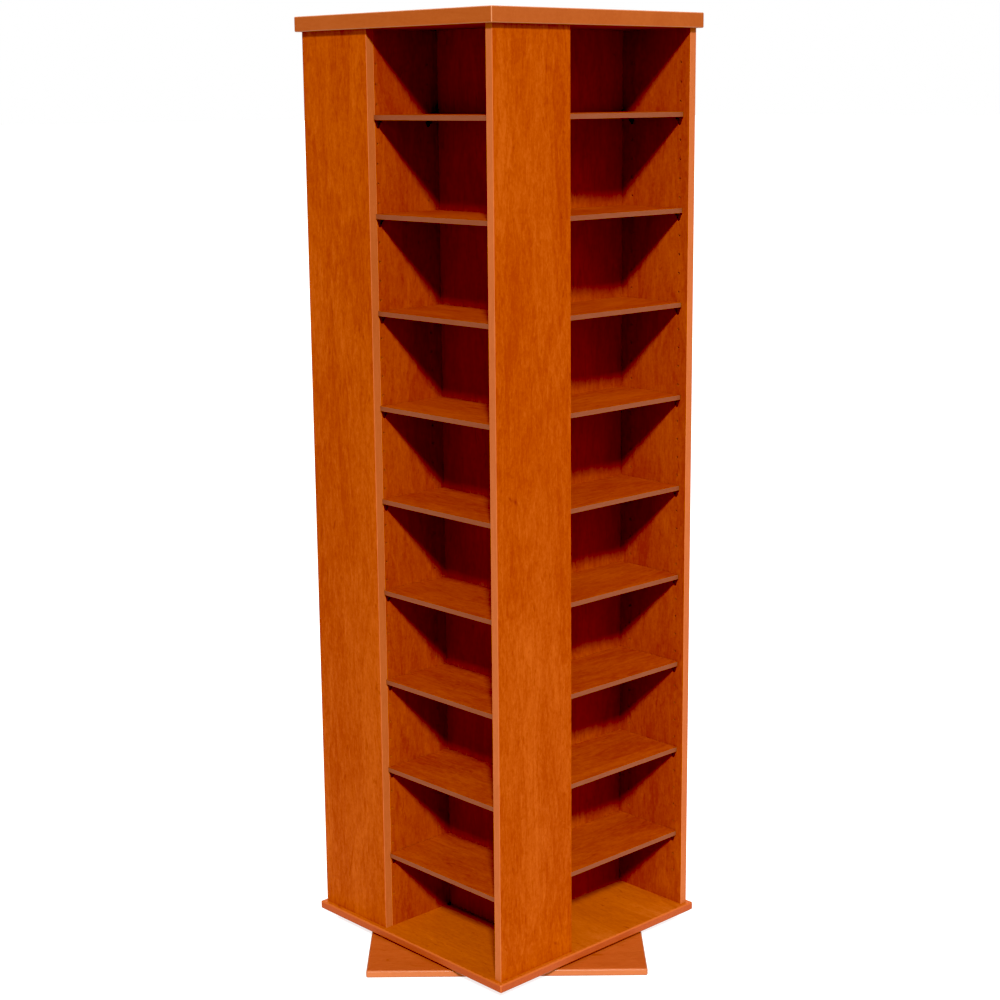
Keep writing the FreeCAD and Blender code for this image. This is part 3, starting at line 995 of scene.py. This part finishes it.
@dataclass
class MergedNode:
    """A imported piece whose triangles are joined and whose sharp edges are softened."""

    node: str
    turn: float = 0.0  # degrees by which it stands turned
    softness: float = 0.25 * MM
    sharp: float = 50.0  # degrees past which an edge is softened
    segments: int = 2
    joined: float = 1e-6  # metres within which the triangles' corners are joined
    flat: float = 1.0  # degrees within which neighbouring triangles become one face

    def piece(self, name: str, material: Material) -> Piece:
        """Copy the node's mesh, join its triangles and round the edges that are wanted.

        Args:
            name: The object's name.
            material: Its finish.

        Returns:
            The piece, with its marks on its faces.
        """
        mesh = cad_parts[self.node].data.copy()
        mesh.name = name
        shape = bmesh.new()
        shape.from_mesh(mesh)
        bmesh.ops.remove_doubles(shape, verts=shape.verts, dist=self.joined)
        flat = math.radians(self.flat)
        bmesh.ops.dissolve_limit(shape, angle_limit=flat, verts=shape.verts, edges=shape.edges)
        straight = Matrix.Rotation(math.radians(-self.turn), 3, "Z")
        chosen = [edge for edge in shape.edges if self.is_wanted(edge, straight)]
        bmesh.ops.bevel(
            shape, geom=chosen, offset=self.softness, segments=self.segments, profile=0.5,
            affect="EDGES", clamp_overlap=True,
        )
        shape.normal_update()
        shape.to_mesh(mesh)
        shape.free()

        facing = np.empty(len(mesh.polygons) * 3)
        mesh.polygons.foreach_get("normal", facing)
        normals = facing.reshape(-1, 3) @ np.array(straight).T
        write_marks(mesh, edge_marks(normals, 2), "FACE")
        smooth(mesh, crease=CREASE)
        made = show(name, mesh, material)
        weighted = made.modifiers.new("flat_faces", "WEIGHTED_NORMAL")
        weighted.keep_sharp = True
        weighted.weight = 100
        return made

    def is_wanted(self, edge: bmesh.types.BMEdge, straight: Matrix) -> bool:
        """Tell whether an edge is sharp enough to be softened."""
        return len(edge.link_faces) == 2 and edge.calc_face_angle(0.0) > math.radians(self.sharp)


@dataclass
class MergedBoard(MergedNode):
    """A packed board with holes and pockets, of which only the outer arrises are rounded."""

    softness: float = 0.75 * MM
    sharp: float = 20.0
    segments: int = 3
    half: float = 242 * MM
    chamfer: float = 2 * MM
    slack: float = 0.02 * MM

    def is_wanted(self, edge: bmesh.types.BMEdge, straight: Matrix) -> bool:
        """Tell whether an edge lies on the board's outer arrises.

        Args:
            edge: The edge.
            straight: The matrix that turns the board straight.

        Returns:
            True where both its ends lie there and it is sharp enough.
        """
        reach = self.half - self.chamfer - self.slack
        ends = [straight @ point.co for point in edge.verts]
        near = all(max(abs(end.x), abs(end.y)) > reach for end in ends)
        return near and super().is_wanted(edge, straight)


# ---------------- turned pieces


@dataclass
class Turned:
    """A piece turned about Z, of which the radius may swell and shrink round it.

    Attributes:
        profile: Radius and height of each ring, from the bottom up.
        columns: Points round each ring.
        start: Angle of the first point of a ring.
    """

    profile: np.ndarray
    columns: int
    start: float = 0.0

    def angles(self) -> np.ndarray:
        """Return the angle of each point of a ring."""
        return self.start + 2 * math.pi * np.arange(self.columns) / self.columns

    def rings(self, swell: np.ndarray | float = 1.0) -> np.ndarray:
        """Work out the rings: p = (s r cos a, s r sin a, z), with the swell s of each point.

        Args:
            swell: A number per ring and point, or one that can be spread over them.

        Returns:
            Points by ring and place on it.
        """
        angle = self.angles()
        radius = self.profile[:, :1] * np.broadcast_to(swell, (len(self.profile), self.columns))
        height = np.broadcast_to(self.profile[:, 1:], radius.shape)
        return np.stack([radius * np.cos(angle), radius * np.sin(angle), height], axis=-1)


@dataclass
class PanScrew:
    """A small screw with a domed head, a cross recess and a coarse thread."""

    length: float = 12 * MM
    point: float = 1.8 * MM
    neck: float = 0.6 * MM  # the plain length under the head
    core: float = 1.5 * MM
    crest: float = 2.0 * MM
    pitch: float = 1.4 * MM
    columns: int = 20  # five to each arm of the recess

    def surface(self) -> Surface:
        """Build the screw with the underside of its head at z = 0.

        The thread is r = core + (crest - core) w^2, where the wave w = 1 - |2 f - 1| has the
        fraction f of z / pitch - a / 2 pi. The recess's outline has as many points as a ring.

        Returns:
            The closed skin.
        """
        start = -math.pi / self.columns
        run = np.arange(-self.length + self.point, -self.neck, self.pitch / 4)
        thread = Turned(np.stack([0 * run + self.core, run], axis=1), self.columns, start)
        turns = run[:, None] / self.pitch - thread.angles() / (2 * math.pi)
        wave = 1.0 - np.abs(2.0 * (turns % 1.0) - 1.0)
        swell = 1.0 + (self.crest / self.core - 1.0) * wave ** 2
        tip = np.array([(0.15, -12.0), (0.9, -11.2)]) * MM
        head = np.array([
            (1.6, -0.3), (1.6, 0.0), (3.55, 0.0), (3.78, 0.2), (3.78, 0.8), (3.5, 1.4),
            (2.95, 1.8), (2.5, 1.95),
        ]) * MM
        return skin(np.concatenate([
            Turned(tip, self.columns, start).rings(),
            thread.rings(swell),
            Turned(head, self.columns, start).rings(),
            self.recess(2.0 * MM, 1.0),
            self.recess(0.9 * MM, 0.7),
        ]))

    def recess(self, height: float, size: float) -> np.ndarray:
        """Work out the cross's outline, as a ring of five points to an arm.

        Args:
            height: Its height.
            size: Its size, against that at the mouth.

        Returns:
            One ring.
        """
        arm = np.array([(2.0, -0.42), (2.0, 0.42), (1.1, 0.42), (0.42, 0.42), (0.42, 1.1)]) * MM
        one = np.column_stack([arm * size, np.full(len(arm), height)])
        return np.concatenate([one @ quarter_turn(step).T for step in range(QUARTERS)])[None]


@dataclass
class FlutedDowel:
    """A beech dowel with fluted sides and bevelled ends."""

    length: float = 26 * MM
    radius: float = 4 * MM
    end_radius: float = 3.1 * MM
    bevel: float = 1.2 * MM
    flute: float = 0.93  # a flute's floor, against the radius
    columns: int = 24

    def surface(self) -> Surface:
        """Build the dowel upwards from z = 0, with every other point of its sides in a flute.

        Returns:
            The closed skin.
        """
        profile = np.array([
            (self.end_radius, 0.0), (self.radius, self.bevel),
            (self.radius, self.length - self.bevel), (self.end_radius, self.length),
        ])
        flutes = np.where(np.arange(self.columns) % 2 == 0, 1.0, self.flute)
        fluted = np.array([0.0, 1.0, 1.0, 0.0])[:, None]
        return skin(Turned(profile, self.columns).rings(1.0 + (flutes - 1.0) * fluted))


# ---------------- the tower's sub-assemblies


@dataclass
class Carcass:
    """The upright boards and the top and bottom boards."""

    finishes: Finishes
    radius: float = 0.8 * MM
    top_radius: float = 2 * MM
    top_steps: int = 4

    def build(self) -> None:
        """Build every board of the carcass."""
        for quarters in range(QUARTERS):
            self.upright("side_panel", "side_board", PegHoles(0), quarters)
            self.upright("partition", "inner_partition", PegHoles(1), quarters)
        top = RoundedBoard(*box_of("top_panel"), self.top_radius, self.top_steps)
        made = top.piece("top_board", self.finishes.top)
        hand_over(made, "tower", "top_panel")
        made = MergedBoard("bottom_panel").piece("bottom_board", self.finishes.bottom)
        hand_over(made, "tower", "bottom_panel")

    def upright(self, node: str, name: str, holes: PegHoles, quarters: int) -> None:
        """Build one upright board.

        Args:
            node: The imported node's name without its side.
            name: The piece's name without its side.
            holes: Its peg holes.
            quarters: Quarter turns from the front to its side.
        """
        side = NAMED_SIDES[quarters]
        board = UprightBoard(*box_of(f"{node}_front"), self.radius, holes=holes)
        made = board.piece(f"{name}_{side}", self.finishes.upright, quarters)
        hand_over(made, "tower", f"{node}_{side}")


@dataclass
class Shelving:
    """The loose shelves and the plastic supports under them."""

    finishes: Finishes
    levels: int = 9
    radius: float = 0.8 * MM
    peg_radius: float = 2.35 * MM
    peg_length: float = 8 * MM
    peg_root: float = 0.4 * MM
    peg_drop: float = 6 * MM
    peg_flats: int = 8
    lowest: float = 163 * MM
    pitch: float = 160 * MM
    walls: tuple[float, float] = (-65 * MM, 218 * MM)
    crease: float = 35.0

    def build(self) -> None:
        """Build the shelves and supports of all four sides."""
        for quarters, side in enumerate(NAMED_SIDES):
            material = self.finishes.shelf_y if quarters % 2 else self.finishes.shelf_x
            for level in range(1, self.levels + 1):
                node = f"shelf_{side}_{level}"
                shelf = RoundedBoard(*box_of(node), self.radius).piece(f"loose_{node}", material)
                hand_over(shelf, "tower", node)
            supports = self.supports().turned(quarters)
            name = f"shelf_supports_{side}"
            made = make_piece(name, supports, self.finishes.support, self.crease)
            hand_over(made, "tower", f"shelf_clips_{side}")

    def support(self) -> Surface:
        """Build one support: a ledge on a leg that narrows and thins to its foot, and a peg.

        Each level has the outline (0, -w) (0.8 d, -w) (d, -0.6 w) (d, 0.6 w) (0.8 d, w) (0, w)
        for its half width w and reach d. The peg is a rod with flat sides into the wall.

        Returns:
            The support on a wall at x = 0, with its top at z = 0.
        """
        sizes = np.array([
            (-12.0, 1.3, 1.2), (-11.3, 2.0, 1.5), (-8.5, 3.0, 2.1), (-5.5, 3.9, 3.4),
            (-3.6, 4.7, 5.2), (-2.5, 5.0, 6.8), (-0.4, 5.0, 7.0), (0.0, 4.7, 6.7),
        ]) * MM
        high, width, reach = (column[:, None] for column in sizes.T)
        out = np.array([0.0, 0.8, 1.0, 1.0, 0.8, 0.0])
        side = np.array([-1.0, -1.0, -0.6, 0.6, 1.0, 1.0])
        body = skin(np.stack([reach * out, width * side, high + 0 * out], axis=-1))

        angles = 2 * math.pi * np.arange(self.peg_flats) / self.peg_flats
        ring = np.stack([0 * angles, np.cos(angles), np.sin(angles)], axis=1) * self.peg_radius
        ends = np.array([[-self.peg_length, 0, -self.peg_drop], [self.peg_root, 0, -self.peg_drop]])
        return body + skin(ring[None] + ends[:, None])

    def supports(self) -> Surface:
        """Repeat the support on both walls, front and back, under every shelf of a bay.

        Returns:
            The supports of the front side.
        """
        heights = self.lowest + self.pitch * np.arange(self.levels)
        grids = np.meshgrid(self.walls, PEG_COLUMNS, heights, indexing="ij")
        places = np.stack([grid.ravel() for grid in grids], axis=1)
        facing = np.where(places[:, 0] < np.mean(self.walls), 1.0, -1.0)
        turns = np.zeros((len(places), 3, 3))
        turns[:, 0, 0] = turns[:, 1, 1] = facing
        turns[:, 2, 2] = 1.0
        return copies(self.support(), places, turns)


@dataclass
class Turntable:
    """The base board and the ball-bearing turntable on it."""

    finishes: Finishes
    ball_radius: float = 3.175 * MM
    ball_rows: int = 13
    ball_columns: int = 24
    race_radius: float = 100 * MM
    middle: float = 17 * MM  # the height of the balls' centres
    balls: int = 12
    rivet_columns: int = 36
    screw_place: float = 132 * MM  # from the axis along each side of the plate
    lower_face: float = 14.5 * MM  # where the lower screws' heads sit
    upper_face: float = 19.5 * MM
    dowel_low: float = 25 * MM  # the foot of each lower dowel
    dowel_high: float = 1570 * MM

    def build(self) -> None:
        """Build the base board, the plates, the balls in their cage and the fasteners."""
        base = MergedBoard("base_panel", BASE_TURN).piece("base_board", self.finishes.base)
        hand_over(base, "base", "base_panel")
        ring = make_piece("polished_balls", self.ball_ring(), self.finishes.ball)
        hand_over(ring, "ball_ring", "bearing_balls")
        cage = MergedNode("ball_cage").piece("spacing_cage", self.finishes.cage)
        hand_over(cage, "ball_ring", "ball_cage")
        for level, body in (("lower", "base"), ("upper", "tower")):
            node = f"turntable_{level}_plate"
            plate = MergedNode(node).piece(f"pressed_{level}_plate", self.finishes.plate)
            hand_over(plate, body, node)
            name = f"pan_screws_{level}"
            screws = make_piece(name, self.screws(level), self.finishes.fastener, CREASE)
            hand_over(screws, body, f"{level}_plate_screws")
        rivet = make_piece("turned_rivet", self.rivet(), self.finishes.fastener, CREASE)
        hand_over(rivet, "base", "pivot_rivet")
        dowels = make_piece("fluted_dowels", self.dowels(), self.finishes.dowel, CREASE)
        hand_over(dowels, "tower", "panel_dowels")

    def screws(self, level: str) -> Surface:
        """Repeat the screw at a plate's four corners, head down in the upper plate.

        Args:
            level: The plate, lower or upper.

        Returns:
            The four screws.
        """
        lower = level == "lower"
        height = self.lower_face if lower else self.upper_face
        flip = np.diag([1.0, 1.0, 1.0] if lower else [1.0, -1.0, -1.0])
        turn = math.radians(45.0 + (BASE_TURN if lower else 0.0))
        around = turn + math.pi / 2 * np.arange(QUARTERS)
        places = round_places(self.screw_place * math.sqrt(2.0), around, height)
        return copies(PanScrew().surface(), places, flip)

    def rivet(self) -> Surface:
        """Turn the rivet: a shank between two domed heads, each with a dimple."""
        profile = np.array([
            (1.6, 12.4), (2.6, 11.9), (3.4, 11.8), (5.6, 11.85), (7.3, 12.15), (7.9, 12.55),
            (8.0, 12.8), (7.9, 13.0), (5.0, 13.0), (5.0, 21.4), (7.9, 21.4), (8.0, 21.6),
            (7.9, 21.85), (7.3, 22.25), (5.6, 22.55), (3.4, 22.6), (2.6, 22.5), (1.6, 22.0),
        ]) * MM
        return skin(Turned(profile, self.rivet_columns).rings())

    def dowels(self) -> Surface:
        """Repeat the dowel at both ends of every upright board.

        Returns:
            All the dowels.
        """
        front = np.array([(-193.0, -225.5), (-105.0, -225.5), (-72.5, -178.0), (-72.5, 25.0)]) * MM
        places = [
            np.column_stack([front, np.full(len(front), height)]) @ quarter_turn(step).T
            for height in (self.dowel_low, self.dowel_high) for step in range(QUARTERS)
        ]
        return copies(FlutedDowel().surface(), np.concatenate(places))

    def ball_ring(self) -> Surface:
        """Build one ball, a sphere's grid, and repeat it round the race.

        Returns:
            The ring of balls.
        """
        tilts = np.linspace(-math.pi / 2, math.pi / 2, self.ball_rows)
        turns = np.linspace(0.0, 2 * math.pi, self.ball_columns, endpoint=False)
        points = (self.ball_radius * directions(tilts, turns)).reshape(-1, 3)
        ball = Surface(points, grid_quads(self.ball_rows, self.ball_columns))
        around = 2 * math.pi * np.arange(self.balls) / self.balls
        return copies(ball, round_places(self.race_radius, around, self.middle))


# ---------------- studio


@dataclass
class Studio:
    """A white floor, a soft white room, three distant lights and the camera."""

    finishes: Finishes
    azimuth: float = 46.7827
    pitch: float = 11.965
    roll: float = -0.5302
    lens: float = 68.6987  # millimetres, as the sensor's width
    sensor: float = 36.0
    view_end: float = 200.0
    place: Triple = (2.3858043, -2.2481351, 1.4809492)
    floor_side: float = 200.0
    wall_light: float = 1.0
    ceiling_light: float = 0.62
    wall_top: float = 0.08  # the sine of the height at which the walls begin to darken
    ceiling_edge: float = 0.30
    lamp_distance: float = 4.0
    black_level: float = 0.028

    def build(self) -> None:
        """Set up the floor, lights, camera and picture."""
        self.lay_floor()
        self.light_room()
        self.add_light("key_light", azimuth=48.0, height=36.0, power=6.4, softness=6.0)
        self.add_light("side_light", azimuth=115.0, height=30.0, power=0.8, softness=30.0)
        self.add_light("back_light", azimuth=228.0, height=38.0, power=2.0, softness=25.0)
        self.aim_camera()
        self.develop()

    def lay_floor(self) -> None:
        """Lay the floor as one flat sheet."""
        half = self.floor_side / 2
        corners = np.array([[-half, -half, 0], [half, -half, 0], [half, half, 0], [-half, half, 0]])
        sheet = Surface(corners, np.array([[0, 1, 2, 3]]))
        floor = make_piece("studio_floor", sheet, self.finishes.floor)

    def light_room(self) -> None:
        """Light the room from white walls that darken towards the ceiling."""
        world = bpy.data.worlds.new("white_room")
        tree = Tree(world)
        direction = tree.node("ShaderNodeTexCoord").outputs["Generated"]
        height = Value(tree, tree.node("ShaderNodeSeparateXYZ", None, {0: direction}).outputs["Z"])
        drop = self.wall_light - self.ceiling_light
        strength = self.wall_light - height.above(self.wall_top, self.ceiling_edge) * drop
        inputs = {"Color": (*WHITE, 1.0), "Strength": strength}
        glow = tree.node("ShaderNodeBackground", None, inputs)
        tree.node("ShaderNodeOutputWorld", None, {"Surface": glow.outputs[0]})
        bpy.context.scene.world = world

    def add_light(
        self, name: str, azimuth: float, height: float, power: float, softness: float
    ) -> None:
        """Hang a distant soft light.

        Args:
            name: The light's name.
            azimuth: Degrees round from the front towards the right.
            height: Degrees above the floor.
            power: Its strength.
            softness: How wide it looks from the tower, in degrees.
        """
        data = bpy.data.lights.new(name, "SUN")
        data.energy = power
        data.angle = math.radians(softness)
        light = bpy.data.objects.new(name, data)
        back, level = self.sight(azimuth, height)
        light.matrix_world = basis(level, np.cross(back, level), back, back * self.lamp_distance)
        bpy.context.scene.collection.objects.link(light)

    def sight(self, azimuth: float, height: float) -> tuple[np.ndarray, np.ndarray]:
        """Work out how a viewer at azimuth a and height h looks at the tower.

        The way back to the viewer is (sin a cos h, -cos a cos h, sin h), and the level
        direction is (cos a, sin a, 0).

        Args:
            azimuth: Degrees round from the front towards the right.
            height: Degrees above the floor.

        Returns:
            The direction towards the viewer and the level direction to their right.
        """
        turn, tilt = math.radians(azimuth), math.radians(height)
        flat = math.cos(tilt)
        back = np.array([math.sin(turn) * flat, -math.cos(turn) * flat, math.sin(tilt)])
        return back, np.array([math.cos(turn), math.sin(turn), 0.0])

    def aim_camera(self) -> None:
        """Set the camera by its azimuth and pitch, then turn it about its own view by the roll."""
        back, level = self.sight(self.azimuth, self.pitch)
        upward = np.cross(back, level)
        lean = math.radians(self.roll)
        right = math.cos(lean) * level + math.sin(lean) * upward
        up = -math.sin(lean) * level + math.cos(lean) * upward
        data = bpy.data.cameras.new("camera")
        data.lens = self.lens
        data.sensor_width = self.sensor
        data.clip_end = self.view_end
        camera = bpy.data.objects.new("camera", data)
        camera.matrix_world = basis(right, up, back, self.place)
        bpy.context.scene.collection.objects.link(camera)
        bpy.context.scene.camera = camera

    def develop(self) -> None:
        """Choose how the light is turned into a picture."""
        view = bpy.context.scene.view_settings
        view.view_transform = "Standard"
        view.use_curve_mapping = True
        view.curve_mapping.black_level = (self.black_level,) * 3
        view.curve_mapping.update()


def basis(
    right: np.ndarray, up: np.ndarray, back: np.ndarray, place: np.ndarray | tuple
) -> Matrix:
    """Make the matrix of an object that looks along its own -Z.

    Args:
        right: Its X axis.
        up: Its Y axis.
        back: Its Z axis.
        place: Its origin.

    Returns:
        The matrix.
    """
    matrix = np.eye(4)
    matrix[:3] = np.stack([right, up, back, place], axis=1)
    return Matrix(matrix.tolist())


def main() -> None:
    """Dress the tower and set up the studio."""
    logging.basicConfig(level=logging.INFO, format="%(message)s")
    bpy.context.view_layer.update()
    finishes = Finishes()
    Carcass(finishes).build()
    Shelving(finishes).build()
    Turntable(finishes).build()
    Studio(finishes).build()


if __name__ == "__main__":
    main()
